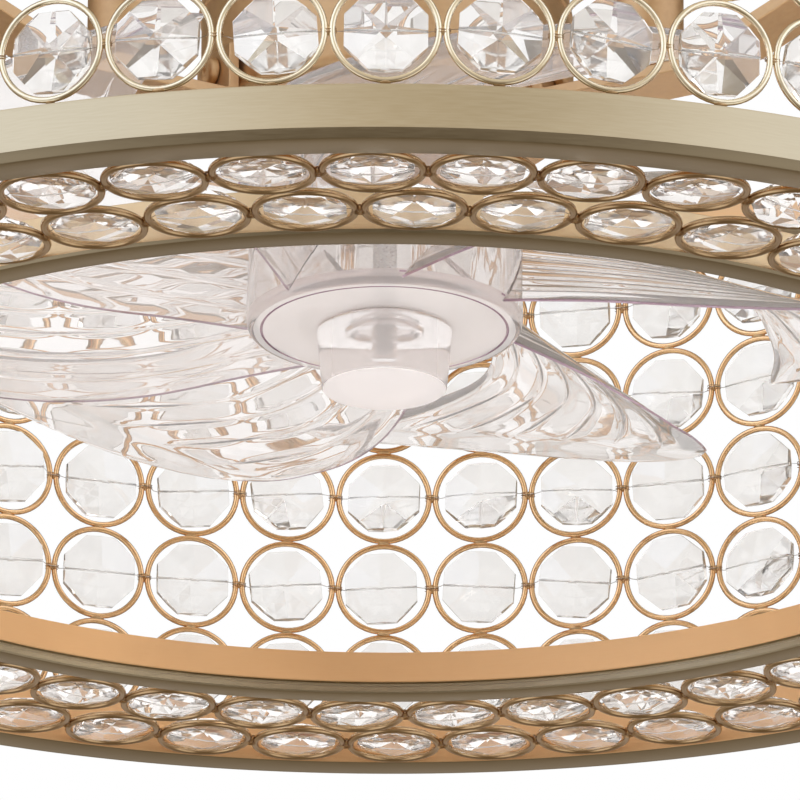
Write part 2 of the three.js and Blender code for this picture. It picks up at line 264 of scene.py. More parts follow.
def arrays(me):
    """Mesh back to millimetres and faces."""
    v = np.zeros(len(me.vertices) * 3)
    me.vertices.foreach_get("co", v)
    return v.reshape(-1, 3) * 1000.0 + np.array([0, 0, CEILING]), [list(p.vertices) for p in me.polygons]


# ------------------------------------------------------------------ materials
def material(name):
    m = bpy.data.materials.new(name)
    m.use_nodes = True
    nt = m.node_tree
    for n in list(nt.nodes):
        nt.nodes.remove(n)
    out = nt.nodes.new("ShaderNodeOutputMaterial")
    bsdf = nt.nodes.new("ShaderNodeBsdfPrincipled")
    nt.links.new(bsdf.outputs[0], out.inputs[0])
    return m, nt, bsdf


def noise(nt, scale, detail=3.0, stretch=None, coord="Object", rough=0.5):
    tc = nt.nodes.new("ShaderNodeTexCoord")
    n = nt.nodes.new("ShaderNodeTexNoise")
    n.inputs["Scale"].default_value = scale
    n.inputs["Detail"].default_value = detail
    n.inputs["Roughness"].default_value = rough
    if stretch:
        mp = nt.nodes.new("ShaderNodeMapping")
        mp.inputs["Scale"].default_value = stretch
        nt.links.new(tc.outputs[coord], mp.inputs["Vector"])
        nt.links.new(mp.outputs["Vector"], n.inputs["Vector"])
    else:
        nt.links.new(tc.outputs[coord], n.inputs["Vector"])
    return n.outputs["Fac"]


def ramp(nt, fac, stops):
    r = nt.nodes.new("ShaderNodeValToRGB")
    e = r.color_ramp.elements
    while len(e) > 1:
        e.remove(e[-1])
    e[0].position, e[0].color = stops[0][0], (*stops[0][1], 1)
    for p, c in stops[1:]:
        x = e.new(p)
        x.color = (*c, 1)
    nt.links.new(fac, r.inputs["Fac"])
    return r.outputs["Color"]


def span(nt, fac, lo, hi, a, b):
    r = nt.nodes.new("ShaderNodeMapRange")
    for k, x in zip(("From Min", "From Max", "To Min", "To Max"), (lo, hi, a, b)):
        r.inputs[k].default_value = x
    nt.links.new(fac, r.inputs["Value"])
    return r.outputs["Result"]


def mix(nt, fac, a, b, mode="MIX"):
    n = nt.nodes.new("ShaderNodeMix")
    n.data_type = "RGBA"
    n.blend_type = mode
    for sock, x in ((n.inputs[0], fac), (n.inputs[6], a), (n.inputs[7], b)):
        if isinstance(x, (int, float)):
            sock.default_value = x
        elif isinstance(x, tuple):
            sock.default_value = (*x, 1)
        else:
            nt.links.new(x, sock)
    return n.outputs[2]


def bump(nt, bsdf, height, strength, distance):
    b = nt.nodes.new("ShaderNodeBump")
    b.inputs["Strength"].default_value = strength
    b.inputs["Distance"].default_value = distance
    nt.links.new(height, b.inputs["Height"])
    nt.links.new(b.outputs[0], bsdf.inputs["Normal"])


def outwardness(nt):
    """1 where a surface faces away from the drum's axis, 0 where it faces the axis."""
    tc = nt.nodes.new("ShaderNodeTexCoord")
    mul = nt.nodes.new("ShaderNodeVectorMath")
    mul.operation = "MULTIPLY"
    mul.inputs[1].default_value = (1, 1, 0)
    nt.links.new(tc.outputs["Object"], mul.inputs[0])
    nrm = nt.nodes.new("ShaderNodeVectorMath")
    nrm.operation = "NORMALIZE"
    nt.links.new(mul.outputs[0], nrm.inputs[0])
    geo = nt.nodes.new("ShaderNodeNewGeometry")
    dot = nt.nodes.new("ShaderNodeVectorMath")
    dot.operation = "DOT_PRODUCT"
    nt.links.new(nrm.outputs[0], dot.inputs[0])
    nt.links.new(geo.outputs["Normal"], dot.inputs[1])
    return dot.outputs["Value"]


def metal(name, base, dark=None, rough=0.3, grain=900.0, stretch=(1, 1, 1), metallic=1.0, inner=None, coat=0.0, streak=0.05, wear=0.12):
    """Plated or painted metal: a slow tone drift, fine grain and slight wear in the roughness."""
    m, nt, b = material(name)
    dark = dark or tuple(x * 0.86 for x in base)
    slow = noise(nt, 9.0, 3.0)
    col = ramp(nt, slow, [(0.30, dark), (0.70, base)])
    # inner colour on faces towards the drum's axis: painted warm light from inside the drum
    if inner:
        drift = ramp(nt, slow, [(0.30, tuple(x * 0.9 for x in inner)), (0.70, inner)])
        col = mix(nt, span(nt, outwardness(nt), -0.35, 0.35, 0.0, 1.0), drift, col)
    fine = noise(nt, grain, 4.0, stretch)
    col = mix(nt, streak, col, ramp(nt, fine, [(0.35, (0.25, 0.2, 0.14)), (0.65, (1, 0.97, 0.9))]), "SOFT_LIGHT")
    nt.links.new(col, b.inputs["Base Color"])
    b.inputs["Metallic"].default_value = metallic
    nt.links.new(span(nt, fine, 0.3, 0.7, rough * (1 - wear), rough * (1 + wear)), b.inputs["Roughness"])
    if coat:
        b.inputs["Coat Weight"].default_value = coat
        b.inputs["Coat Roughness"].default_value = 0.12
    bump(nt, b, fine, 0.10, 0.00005)
    return m


def glass(name, base, ior, rough=(0.0, 0.01), waves=0.0, wave_scale=120.0, film=0.0, absorb=None, haze=0.0):
    """Clear glass or acrylic with a faint tone drift and almost invisible polishing marks."""
    m, nt, b = material(name)
    slow = noise(nt, 60.0, 2.0)
    nt.links.new(ramp(nt, slow, [(0.3, tuple(min(1, x * 0.985) for x in base)), (0.7, base)]), b.inputs["Base Color"])
    nt.links.new(span(nt, slow, 0.3, 0.7, rough[0], rough[1]), b.inputs["Roughness"])
    b.inputs["Transmission Weight"].default_value = 1.0 - haze
    b.inputs["IOR"].default_value = ior
    if film:
        b.inputs["Thin Film Thickness"].default_value = film
        b.inputs["Thin Film IOR"].default_value = 1.9
    if waves:
        bump(nt, b, noise(nt, wave_scale, 2.0), waves, 0.0004)
    if absorb:
        vol = nt.nodes.new("ShaderNodeVolumeAbsorption")
        vol.inputs["Color"].default_value = (*absorb[0], 1)
        vol.inputs["Density"].default_value = absorb[1]
        out = [n for n in nt.nodes if n.type == "OUTPUT_MATERIAL"][0]
        nt.links.new(vol.outputs[0], out.inputs["Volume"])
    return m


def plastic(name, base, rough=0.45, grain=1500.0, depth=0.00008):
    m, nt, b = material(name)
    fine = noise(nt, grain, 3.0)
    slow = noise(nt, 14.0, 2.0)
    nt.links.new(ramp(nt, slow, [(0.3, tuple(x * 0.93 for x in base)), (0.7, base)]), b.inputs["Base Color"])
    nt.links.new(span(nt, fine, 0.3, 0.7, rough * 0.85, rough * 1.15), b.inputs["Roughness"])
    bump(nt, b, fine, 0.35, depth)
    return m


CHAMPAGNE = metal("champagne_outside", (0.60, 0.50, 0.33), rough=0.34, grain=160, stretch=(1, 1, 14), streak=0.10)
# darker copy of the champagne colour for flat faces that look up or down: painted shade on the undersides
CHAMPAGNE_FLAT_SHADE = metal("champagne_flat_painted_shade", (0.535, 0.44, 0.295), rough=0.36, grain=160, stretch=(1, 1, 14), streak=0.10)
# darker copy of the champagne colour for the lip and the chamfers facing down: painted shade
LIP = metal("champagne_lip_painted_shade", (0.38, 0.314, 0.208), rough=0.40, grain=160, stretch=(1, 1, 14), streak=0.08)
WARM_LIGHT = metal("warm_outside", (0.84, 0.66, 0.42), rough=0.36, grain=160, stretch=(1, 1, 14), streak=0.08)
# warm gold for hoop faces towards the axis: painted light standing in for the warm light inside the drum
WARM = metal("warm_inside_painted_light", (0.905, 0.573, 0.297), rough=0.52, grain=160, stretch=(1, 1, 14), streak=0.08)
# ring wires: the warmer colour on their inward faces is painted light from inside the drum
RING = metal("ring_plating", (0.88, 0.77, 0.56), rough=0.13, grain=700, inner=(0.92, 0.60, 0.32), streak=0.12)
# darker, browner copy of the ring plating for the bottom rows that face down: painted shade
RING_BOTTOM_SHADE = metal("ring_low_painted_shade", (0.60, 0.42, 0.24), rough=0.20, grain=700, streak=0.12)
SOLDER = metal("solder_joint", (0.66, 0.46, 0.26), rough=0.34, grain=1800, streak=0.3)
GOLD = metal("gold_paint", (0.62, 0.40, 0.21), rough=0.42, grain=500, metallic=0.9, streak=0.12)
STEEL = metal("zinc_steel", (0.56, 0.56, 0.57), rough=0.30, grain=1200, stretch=(1, 1, 4), streak=0.25, wear=0.3)
WIRE = metal("thin_wire", (0.52, 0.49, 0.45), rough=0.22, grain=2500, streak=0.2)
TIE = metal("tie_wire", (0.56, 0.38, 0.21), rough=0.24, grain=2500, streak=0.2)
DARKSTEEL = metal("dark_steel", (0.16, 0.16, 0.17), rough=0.42, grain=1200, stretch=(1, 1, 30), streak=0.4, wear=0.3)
COPPER = metal("copper_wire", (0.72, 0.36, 0.17), rough=0.28, grain=2400, stretch=(1, 1, 12), streak=0.5)
CRYSTAL = glass("cut_glass", (0.90, 0.882, 0.862), 1.56, rough=(0.0, 0.006), haze=0.10)
BORE = glass("bore_wall", (0.93, 0.92, 0.92), 1.56, rough=(0.34, 0.42), waves=0.2, wave_scale=2600)
CRYSTAL_LOW = glass("cut_glass_low", (0.975, 0.945, 0.925), 1.56, rough=(0.0, 0.006), haze=0.05)
ACRYLIC = glass("clear_acrylic", (0.99, 0.966, 0.955), 1.32, rough=(0.0, 0.03), waves=0.03, absorb=((0.76, 0.56, 0.55), 9.0), haze=0.15)
# purple-brown colour for the impeller's leading edges and floor groove: painted glint standing in for light seen
# along thick acrylic edges
EDGE = glass("acrylic_edge_painted_glint", (0.46, 0.30, 0.38), 1.32, rough=(0.02, 0.08), waves=0.03, haze=0.42)
HUBFLOOR = glass("matt_acrylic", (0.985, 0.935, 0.915), 1.22, rough=(0.12, 0.18), waves=0.05, haze=0.44)
NUT = glass("moulded_acrylic", (0.99, 0.95, 0.935), 1.18, rough=(0.03, 0.06), waves=0.05, haze=0.26)
FROST = glass("frosted_acrylic", (0.97, 0.91, 0.89), 1.30, rough=(0.30, 0.36), waves=0.1, wave_scale=900, haze=0.60)
BULB = glass("lamp_glass", (0.99, 0.97, 0.93), 1.46, rough=(0.0, 0.01))
FILAMENT = plastic("lamp_phosphor", (0.93, 0.80, 0.45), rough=0.6)
PLASTIC = plastic("white_plastic", (0.82, 0.81, 0.78))
BRASS = metal("contact_brass", (0.80, 0.58, 0.26), rough=0.3, grain=900)


# ------------------------------------------------------------------ hoops of the drum
SEG = 224
HOOP_TOP = 14.2


def hoop(name, profile, node, outside, lip=-1.0):
    """Turned hoop. The face towards the axis is coloured warm down to the lip, painted light standing in for the warm
    light inside the drum.
    """
    v, f = lathe(profile, SEG)
    mats = []
    for face in f:
        p = v[face]
        n = np.cross(p[1] - p[0], p[2] - p[0])
        n /= np.linalg.norm(n) or 1
        c = p.mean(0)
        rad = c[:2] / np.linalg.norm(c[:2])
        d = n[0] * rad[0] + n[1] * rad[1]
        # faces towards the axis: warm painted light above the lip, painted shade below it; outward faces tilted down
        # and flat top and bottom faces: darker copies as painted shade
        mats.append((2 if c[2] > lip else 3) if d < -0.6 else (3 if n[2] < -0.3 else 0) if d > 0.35 else 1)
    b = Build().add((v, f))
    b.m = mats
    return place(name, b.mesh(name), [outside, CHAMPAGNE_FLAT_SHADE, WARM, LIP], nodes=[node], angle=27)


# outer face flares a little to a crisp lower lip, a narrow chamfer leads in under it to the flat underside
def crowned(r, lo, hi, width):
    pts = [(r - width, hi), (r - width, lo + 0.7), (r - width + 0.25, lo + 0.2), (r - width + 0.8, lo)]
    pts += [(r - 4.2, lo), (r - 2.0, lo), (r - 1.62, lo + 0.12), (r - 1.36, lo + 0.36), (r - 0.12, lo + 2.16), (r, lo + 2.42)]
    face = [(r - 0.75 * (1 - math.exp(-(z - 2.42) / 4.5)), lo + z) for z in (3.0, 3.8, 4.8, 6.0, 7.5, 9.0, 10.6, 12.2, hi - lo - 0.5)]
    pts += face
    pts += [(face[-1][0] - 0.15, hi - 0.12), (face[-1][0] - 0.5, hi)]
    return pts


hoop("lower_hoop", crowned(250, 0, HOOP_TOP, 12.2), "lower_outer_hoop", CHAMPAGNE)
# a groove parts the warm band, painted light from inside the drum, from the rolled lip under it, whose darker colour
# is painted shade
hoop("inner_ring_hoop", [(175.4, 12), (175.4, 3.55), (175.6, 3.3), (176.5, 3.1), (176.5, 2.35), (175.95, 2.05), (175.85, 0.6), (176.05, 0.15), (176.5, 0)] + [(183.0, 0), (184.0, 0.3), (184.6, 1.0), (184.7, 1.8), (184.7, 11.8), (184.5, 12)], "inner_hoop", WARM_LIGHT, lip=3.25)
U0, U1 = 153.2, 165.0
hoop("top_hoop", [(237.8, U1 - 0.6), (237.8, U0 + 0.5), (238.3, U0), (249.0, U0), (249.8, U0 + 0.6), (250, U0 + 1.6), (250, U1 - 1.6), (249.8, U1 - 0.6), (249.0, U1), (238.4, U1)], "upper_hoop", CHAMPAGNE)

# ------------------------------------------------------------------ ring wall
RW, ROW, WALL0, COLS, ROWS = 248.4, 27.68, 14.5, 56, 5
RING_R, WIRE_R = 13.06, 0.82
ring_shape = torus(RING_R, WIRE_R, 48, 10)


def wall_centre(col, row):
    t = (-90 + col * 360 / COLS) * DEG
    return t, np.array([RW * math.cos(t), RW * math.sin(t), WALL0 + (row + 0.5) * ROW])


for s in range(8):
    b = Build()
    for c in range(7):
        col = s * 7 + c
        for row in range(ROWS):
            t, at = wall_centre(col, row)
            wob = tilt(rng.normal(0, 0.8), rng.normal(0, 0.8), 0)
            v, f = ring_shape
            b.add(moved((v @ wob, f), radial_frame(t), at))
            # solder that joins this ring to the next one in the row
            tj = t + math.pi / COLS
            jn = np.array([RW * 1.0012 * math.cos(tj), RW * 1.0012 * math.sin(tj), at[2]])
            b.add(moved(blob(0.55, 1.2 + 0.3 * math.sin(2.3 * col + 1.7 * row), 0.66), radial_frame(tj), jn), 1)
        for row in range(ROWS + 1):
            t = (-90 + col * 360 / COLS) * DEG
            z = WALL0 + row * ROW
            if row in (0, ROWS):
                z += 0.35 if row == 0 else -0.35
            at = np.array([RW * math.cos(t), RW * math.sin(t), z])
            b.add(moved(blob(1.5 + rng.random() * 0.7, 0.62, 0.72), radial_frame(t), at), 1)
    place(f"ring_wall_{s + 1}", b.mesh("ring_wall"), [RING, SOLDER], nodes=[f"ring_wall_panel_{s + 1}"], angle=60)


# ------------------------------------------------------------------ faceted bead
def bead_mesh(apothem=10.3, half=4.3, side=1.3, bore=0.28):
    """Octagonal bead, axis along z, bore along x. Eight kite facets a face, each with its tip on a corner."""
    rc = apothem / math.cos(22.5 * DEG)
    corner = half - (half - side) / (apothem * math.cos(22.5 * DEG)) * rc
    v = [(0, 0, half), (0, 0, -half)]
    for sgn in (1, -1):
        v += [(apothem * math.cos(45 * k * DEG), apothem * math.sin(45 * k * DEG), sgn * side) for k in range(8)]
        v += [(rc * math.cos((22.5 + 45 * k) * DEG), rc * math.sin((22.5 + 45 * k) * DEG), sgn * corner) for k in range(8)]
    f = []
    for k in range(8):
        l = (k + 1) % 8
        f.append([0, 2 + k, 10 + k, 2 + l])
        f.append([1, 18 + l, 26 + k, 18 + k])
        f.append([10 + k, 26 + k, 18 + l, 26 + l, 10 + l, 2 + l])
    o = loose("bead_tmp", (np.array(v, float), f))
    cv, cf = lathe([(0, -14), (bore, -14), (bore, 14), (0, 14)], 10)
    cv = cv[:, [2, 1, 0]] * np.array([1, 1, -1])
    c = loose("bore_tmp", (cv, cf))
    me = boolean(o, [c], "DIFFERENCE")
    out = arrays(me)
    bpy.data.meshes.remove(me)
    mats = [1 if all(math.hypot(out[0][i][1], out[0][i][2]) < bore * 1.1 for i in face) else 0 for face in out[1]]
    return out[0], out[1], mats


BEAD = bead_mesh()
WIRE_T = 0.095
RBEAD = 247.7


def tie(centre, along, up, out, turns=2, half=2.0, depth=1.15):
    """Thin wire wound round the two ring wires where they meet."""
    n = 9 * turns + 1
    a = np.linspace(0, 2 * math.pi * turns, n)
    rise = np.linspace(-0.34 * turns, 0.34 * turns, n) + 0.05 * np.sin(a * 2.3)
    p = centre + np.outer(np.cos(a) * half, along) + np.outer(np.sin(a) * depth, out) + np.outer(rise, up)
    return tube(p, 0.125, 5)


for row in range(ROWS):
    g, w = Build(), Build()
    for col in range(COLS):
        t, at = wall_centre(col, row)
        fr = radial_frame(t)
        at = at.copy()
        at[:2] *= RBEAD / RW
        at += fr[1] * rng.normal(0, 0.25) + fr[0] * rng.normal(0, 0.35)
        rot = tilt(rng.normal(0, 7.0), rng.normal(0, 4.5), rng.normal(0, 4.0))
        axis = rot[0] @ fr
        g.add(moved((BEAD[0] @ rot, BEAD[1]), fr, at), BEAD[2])
        # thread from the left junction, through the bore, to the right junction
        left = RW * np.array([math.cos(t - math.pi / COLS), math.sin(t - math.pi / COLS), 0]) + np.array([0, 0, WALL0 + (row + 0.5) * ROW])
        right = RW * np.array([math.cos(t + math.pi / COLS), math.sin(t + math.pi / COLS), 0]) + np.array([0, 0, WALL0 + (row + 0.5) * ROW])
        e0, e1 = at - axis * 10.4, at + axis * 10.4
        sag = rng.normal(0, 0.18)
        path = [left - fr[2] * 1.0, left - fr[2] * 0.95 + fr[0] * 1.2, left * 0.4 + e0 * 0.6 + fr[1] * sag, e0, at - axis * 5 + fr[1] * rng.normal(0, 0.12), at + fr[1] * rng.normal(0, 0.12), at + axis * 5 + fr[1] * rng.normal(0, 0.12), e1,
                right * 0.4 + e1 * 0.6 - fr[1] * sag, right - fr[2] * 0.95 - fr[0] * 1.2, right - fr[2] * 1.0]
        w.add(tube(path, WIRE_T, 5))
        tj = t + math.pi / COLS
        fj = radial_frame(tj)
        w.add(tie(right, fj[0], fj[1], fj[2], turns=2), 1)
    place(f"wall_beads_{row + 1}", g.mesh("wall_beads"), [CRYSTAL, BORE], nodes=[f"wall_bead_strand_{row + 1}"], angle=None)
    place(f"wall_thread_{row + 1}", w.mesh("wall_thread"), [WIRE, TIE], angle=70)

# ------------------------------------------------------------------ bottom panel
R1, R2 = 224.35, 198.2
PLANE = 1.1


def bottom_row(radius, count, start, ring_r, arcs, prefix, nodes, bead_node, bead_name):
    wr = 1.02
    shape = torus(ring_r, wr, 48, 10)
    step = 2 * math.pi / count
    per = count // arcs
    g, w = Build(), Build()
    for q in range(arcs):
        b = Build()
        for c in range(per):
            k = q * per + c
            t = start * DEG + (k + 0.5) * step
            fr = np.array([[-math.sin(t), math.cos(t), 0], [-math.cos(t), -math.sin(t), 0], [0, 0, 1.0]])
            at = np.array([radius * math.cos(t), radius * math.sin(t), PLANE])
            wob = tilt(rng.normal(0, 0.6), rng.normal(0, 0.6), 0)
            b.add(moved((shape[0] @ wob, shape[1]), fr, at))
            tj = t + step / 2
            fj = np.array([[-math.sin(tj), math.cos(tj), 0], [0, 0, 1.0], [math.cos(tj), math.sin(tj), 0]])
            jn = np.array([radius * math.cos(tj) * math.cos(0), radius * math.sin(tj), PLANE])
            jn[:2] *= math.cos(step / 2)
            b.add(moved(blob(0.9, 0.7, 1.0), fj, jn), 1)
            # bead lies nearly flat, its bore along the row
            c0 = at + np.array([0, 0, 0.9 + rng.normal(0, 0.15)])
            rot = tilt(rng.normal(0, 3.5), rng.normal(0, 2.5), rng.normal(0, 3.0))
            axis = rot[0] @ fr
            g.add(moved((BEAD[0] @ rot, BEAD[1]), fr, c0), BEAD[2])
            tl = t - step / 2
            left = np.array([radius * math.cos(tl), radius * math.sin(tl), PLANE])
            right = np.array([radius * math.cos(tj), radius * math.sin(tj), PLANE])
            e0, e1 = c0 - axis * 10.4, c0 + axis * 10.4
            up = np.array([0, 0, 1.0])
            w.add(tube([left + up * 1.0, left + up * 1.0 + fr[0] * 1.2, left * 0.45 + e0 * 0.55, e0, c0 - axis * 5, c0 + up * 0.08, c0 + axis * 5, e1, right * 0.45 + e1 * 0.55,
                        right + up * 1.0 - fr[0] * 1.2, right + up * 1.0], WIRE_T, 5))
            w.add(tie(jn, fj[0], fj[2], fj[1], turns=3, half=2.1, depth=1.2), 1)
        # these rings take the darker, browner ring colour: painted shade for rows that face down
        place(f"{prefix}_{q + 1}", b.mesh(prefix), [RING_BOTTOM_SHADE, SOLDER], nodes=[nodes[q]], angle=60)
    place(bead_name, g.mesh(bead_name), [CRYSTAL_LOW, BORE], nodes=[bead_node], angle=None)
    place(bead_name.replace("beads", "thread"), w.mesh(bead_name), [WIRE, TIE], angle=70)


bottom_row(R1, 52, -94.24, 12.50, 4, "outer_row", [f"bottom_outer_row_arc_{q}" for q in (1, 2, 3, 4)], "bottom_outer_bead_strand", "outer_row_beads")
bottom_row(R2, 46, -91.80, 12.48, 2, "inner_row", [f"bottom_inner_row_arc_{q}" for q in (1, 2)], "bottom_inner_bead_strand", "inner_row_beads")

# ------------------------------------------------------------------ impeller
BLADES = 7
LEAD = np.array([[1.2, 18], [1.6, 26], [2.0, 31], [2.5, 35], [3.0, 38.4], [3.5, 41.6], [4.0, 44.8], [4.5, 47.8], [5.0, 50.9], [5.3, 53.1], [5.5, 55.2], [5.85, 60]])  # r in pitches, azimuth in degrees
TRAIL = np.array([[1.2, 66], [2.0, 66], [3.0, 69], [3.98, 77], [4.45, 84], [5.0, 91], [5.6, 98], [5.85, 100]])
RIM = np.array([[0, 5.50], [0.02, 5.60], [0.05, 5.69], [0.10, 5.77], [0.18, 5.83], [0.30, 5.855], [0.80, 5.85], [0.90, 5.82], [0.96, 5.77], [1, 5.70]])
ZEDGE = np.array([[1.2, 1.6], [2.0, 1.59], [3.0, 1.55], [3.5, 1.56], [4.0, 1.60], [4.5, 1.68], [5.0, 1.77], [5.5, 1.91], [5.85, 2.0]])
ZT = np.array([[1.2, 2.7], [3.0, 2.5], [4.0, 2.43], [5.0, 2.48], [5.85, 2.58]])
HUB_R = 1.262


def smooth_table(tab, x):
    """Cubic through the table's points, held level past its ends."""
    xs, ys = tab[:, 0], tab[:, 1]
    m = np.gradient(ys, xs)
    x = np.clip(x, xs[0], xs[-1])
    i = np.clip(np.searchsorted(xs, x) - 1, 0, len(xs) - 2)
    h = xs[i + 1] - xs[i]
    t = (x - xs[i]) / h
    return (2 * t**3 - 3 * t**2 + 1) * ys[i] + (t**3 - 2 * t**2 + t) * h * m[i] + (-2 * t**3 + 3 * t**2) * ys[i + 1] + (t**3 - t**2) * h * m[i + 1]


def blade_z(r, az):
    """Height of the blade's middle: steep at the root, then flatter, always rising to the trailing edge."""
    lead, trail = smooth_table(LEAD, r), smooth_table(TRAIL, r)
    ze, zt = smooth_table(ZEDGE, r), smooth_table(ZT, r)
    u = np.clip((az - lead) / (trail - lead), 0, 1)
    return (ze + u * (zt - ze) + (0.04 + 0.016 * (r - 1.2)) * np.sin(math.pi * u)) * PITCH


RIBS = [0.145 * n for n in range(1, 7)]


def blade(along=56, thick=0.95, rib=0.32, sag=0.06):
    """One blade: columns at fixed fractions of the chord, smooth between six thin raised ribs on the underside."""
    cols = [(0.0, 0, 0, 0), (0.02, 0, 0, 0.0), (0.05, 0, 0, 0.4), (0.09, 0, 0, 0.4)]
    side = ((0.75, 0.0), (0.45, 0.18), (0.22, 0.72))
    for n, ub in enumerate(RIBS):
        nxt = RIBS[n + 1] if n + 1 < len(RIBS) else 1.0
        cols += [(ub, -d, h, 0) for d, h in side] + [(ub, 0, 1, 0)] + [(ub, d, h, 0) for d, h in side[::-1]]
        cols += [(ub + (nxt - ub) * t, 0, 0, 4 * t * (1 - t)) for t in ((0.3, 0.5, 0.7) if n + 1 < len(RIBS) else (0.35, 0.6, 0.82, 1.0))]
    q = np.linspace(0, 1, along + 1)
    low, top = [], []
    for ub, off, h, swell in cols:
        r = HUB_R - 0.02 + (float(np.interp(ub, RIM[:, 0], RIM[:, 1])) - HUB_R + 0.02) * q
        lead, trail = smooth_table(LEAD, r), smooth_table(TRAIL, r)
        chord = r * PITCH * (trail - lead) * DEG
        u = np.clip(ub + off / chord, 0, 1)
        az = lead + u * (trail - lead)
        z = blade_z(r, az)
        fade = np.clip((5.15 - r) / 0.5, 0, 1)
        fade = fade * fade * (3 - 2 * fade)
        # edges are thinner than the middle of the blade
        th = thick * (0.42 + 0.58 * np.clip(np.minimum((1 - q) * 9, min(ub, 1 - ub) / 0.05), 0, 1))
        x, y = r * PITCH * np.cos(az * DEG), r * PITCH * np.sin(az * DEG)
        low.append(np.stack([x, y, z - th - (rib * h + sag * swell) * fade], 1))
        top.append(np.stack([x, y, z + th], 1))
    low, top = np.array(low), np.array(top)
    nc, nq = low.shape[0], low.shape[1]
    # rounded rim: one extra line of points half way up, pushed outwards
    ring = [(c, 0) for c in range(nc)] + [(nc - 1, k) for k in range(1, nq)] + [(c, nq - 1) for c in range(nc - 2, -1, -1)] + [(0, k) for k in range(nq - 2, 0, -1)]
    pl = np.array([low[i] for i in ring])
    pt = np.array([top[i] for i in ring])
    tan = np.roll(pl, -1, 0) - np.roll(pl, 1, 0)
    nrm = np.stack([tan[:, 1], -tan[:, 0]], 1)
    nrm /= np.linalg.norm(nrm, axis=1)[:, None]
    area = 0.5 * np.sum(pl[:, 0] * np.roll(pl[:, 1], -1) - pl[:, 1] * np.roll(pl[:, 0], -1))
    mid = (pl + pt) / 2
    mid[:, :2] += nrm * (0.45 if area > 0 else -0.45)
    V = np.concatenate([low.reshape(-1, 3), top.reshape(-1, 3), mid])
    L = lambda i: i[0] * nq + i[1]
    T = lambda i: nc * nq + i[0] * nq + i[1]
    f = []
    for c in range(nc - 1):
        for k in range(nq - 1):
            f.append([L((c, k)), L((c, k + 1)), L((c + 1, k + 1)), L((c + 1, k))])
            f.append([T((c, k)), T((c + 1, k)), T((c + 1, k + 1)), T((c, k + 1))])
    m = len(ring)
    for i in range(m):
        j = (i + 1) % m
        f.append([L(ring[i]), L(ring[j]), 2 * nc * nq + j, 2 * nc * nq + i])
        f.append([2 * nc * nq + i, 2 * nc * nq + j, T(ring[j]), T(ring[i])])
    return V, f


def closed_object(name, vf, merge=0.02):
    """Welds a mesh, drops what has no area and turns the faces outwards."""
    import bmesh

    o = loose(name, vf)
    bm = bmesh.new()
    bm.from_mesh(o.data)
    bmesh.ops.remove_doubles(bm, verts=bm.verts, dist=merge / 1000)
    bmesh.ops.dissolve_degenerate(bm, edges=bm.edges, dist=merge / 2000)
    bmesh.ops.recalc_face_normals(bm, faces=bm.faces)
    bm.to_mesh(o.data)
    bad = sum(1 for e in bm.edges if len(e.link_faces) != 2)
    bm.free()
    return o, bad


# a fine moulded groove runs round the floor near its rim
hub_profile = fillet([(3.0, 43.0), (32.45, 43.0), (32.6, 43.4), (33.0, 43.4), (33.15, 43.0), (36.4, 43.0), (36.9, 46.0), (36.4, 84.0), (34.0, 84.0), (34.0, 45.9), (12.0, 45.9), (12.0, 47.6), (3.0, 47.6)],
                     [0.3, 0.04, 0.04, 0.04, 0.04, 2.0, 3.0, 0.9, 0.9, 1.6, 0.5, 0.5, 0.3])
hub, bad = closed_object("hub_tmp", lathe(hub_profile, 120), 0.001)
print("hub open edges", bad)
blades = []
V0, F0 = blade()
for k in range(BLADES):
    c, s = math.cos(2 * math.pi * k / BLADES), math.sin(2 * math.pi * k / BLADES)
    rot = np.array([[c, s, 0], [-s, c, 0], [0, 0, 1]])
    o, bad = closed_object(f"blade_tmp_{k}", (V0 @ rot, F0))
    if k == 0:
        print("blade open edges", bad, len(o.data.polygons))
    blades.append(o)
imp = boolean(hub, blades, "UNION")
print("impeller polygons", len(imp.polygons))
where = np.zeros(len(imp.polygons) * 3)
imp.polygons.foreach_get("center", where)
where = where.reshape(-1, 3) * 1000
# the hub's floor has a matt finish from the mould
low_floor = (np.hypot(where[:, 0], where[:, 1]) < 34.4) & (where[:, 2] < 47.7 - CEILING)
# and the narrow leading edges get a purple-brown colour, a painted glint for the light seen along the thick acrylic
# edges
rr = np.hypot(where[:, 0], where[:, 1]) / PITCH
past = (np.degrees(np.arctan2(where[:, 1], where[:, 0])) - smooth_table(LEAD, rr)) % (360 / BLADES)
front_edge = (rr > 1.32) & (rr < 5.45) & ((past > 360 / BLADES - 1.4) | (past < 0.12)) & (np.abs(where[:, 2] + CEILING - smooth_table(ZEDGE, rr) * PITCH) < 2.5)
print("leading edge faces", int(front_edge.sum()))
groove = (np.abs(np.hypot(where[:, 0], where[:, 1]) - 32.8) < 0.56) & (where[:, 2] > 43.02 - CEILING) & (where[:, 2] < 43.6 - CEILING)
# the groove and the leading edges take the purple-brown edge colour, a painted glint
imp.polygons.foreach_set("material_index", np.where(groove, 2, low_floor.astype(np.int32) + 2 * front_edge.astype(np.int32)).astype(np.int32))
place("impeller_clear", imp, [ACRYLIC, HUBFLOOR, EDGE], body="rotor", nodes=["impeller"], angle=38)

# ------------------------------------------------------------------ spinner nut, shaft, washer
nut_profile = fillet([(0, 26.1), (16.6, 26.1), (18.1, 42.7), (8.6, 42.7), (8.6, 41.2), (7.7, 41.0), (7.7, 42.7), (2.85, 42.7), (2.85, 34), (0, 34)],
                     [0, 1.0, 0.5, 0.3, 0.3, 0.2, 0.3, 0.3, 0.3, 0], 4)
nut_profile[0], nut_profile[-1] = (0, 26.1), (0, 34)
v, f = lathe(nut_profile, 96)
b = Build().add((v, f))
b.m = [1 if max(v[i][2] for i in face) < 26.5 else 0 for face in f]
place("spinner_nut_clear", b.mesh("spinner_nut"), [NUT, FROST], body="rotor", nodes=["spinner_nut"], angle=30)


